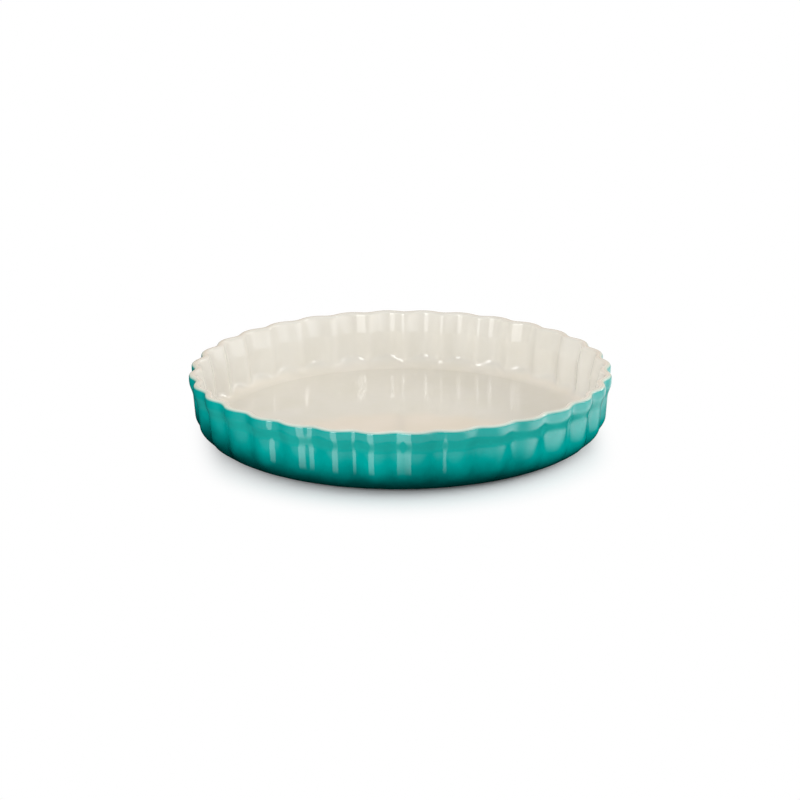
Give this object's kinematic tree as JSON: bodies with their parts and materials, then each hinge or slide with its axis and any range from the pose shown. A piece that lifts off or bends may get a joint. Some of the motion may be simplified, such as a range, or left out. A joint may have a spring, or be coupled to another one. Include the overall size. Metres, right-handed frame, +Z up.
{
  "type": "tart dish",
  "caption": "Round shallow baking dish for tarts, with a fluted wall and a flared collar band, cream glaze inside, teal glaze outside and a bare foot ring under the base.",
  "frame": {"origin": "centre of the foot ring, on the surface the dish stands on", "axes": "+Z up along the axis of the dish; flute crests lie on the X and Y axes, and -Y is the front"},
  "size_m": [0.2798, 0.2798, 0.045],
  "materials": {
    "stoneware": "bare fired clay, matt and slightly gritty",
    "cream_glaze": "glossy cream glaze",
    "teal_glaze": "glossy teal glaze, paler on the edges and darker towards the base",
    "base_glaze": "glossy teal glaze, thin on the underside"
  },
  "bodies": {
    "root": {"stoneware_body": "stoneware", "inner_glaze": "cream_glaze", "outer_glaze": "teal_glaze", "base_glaze": "base_glaze"}
  },
  "joints": []
}
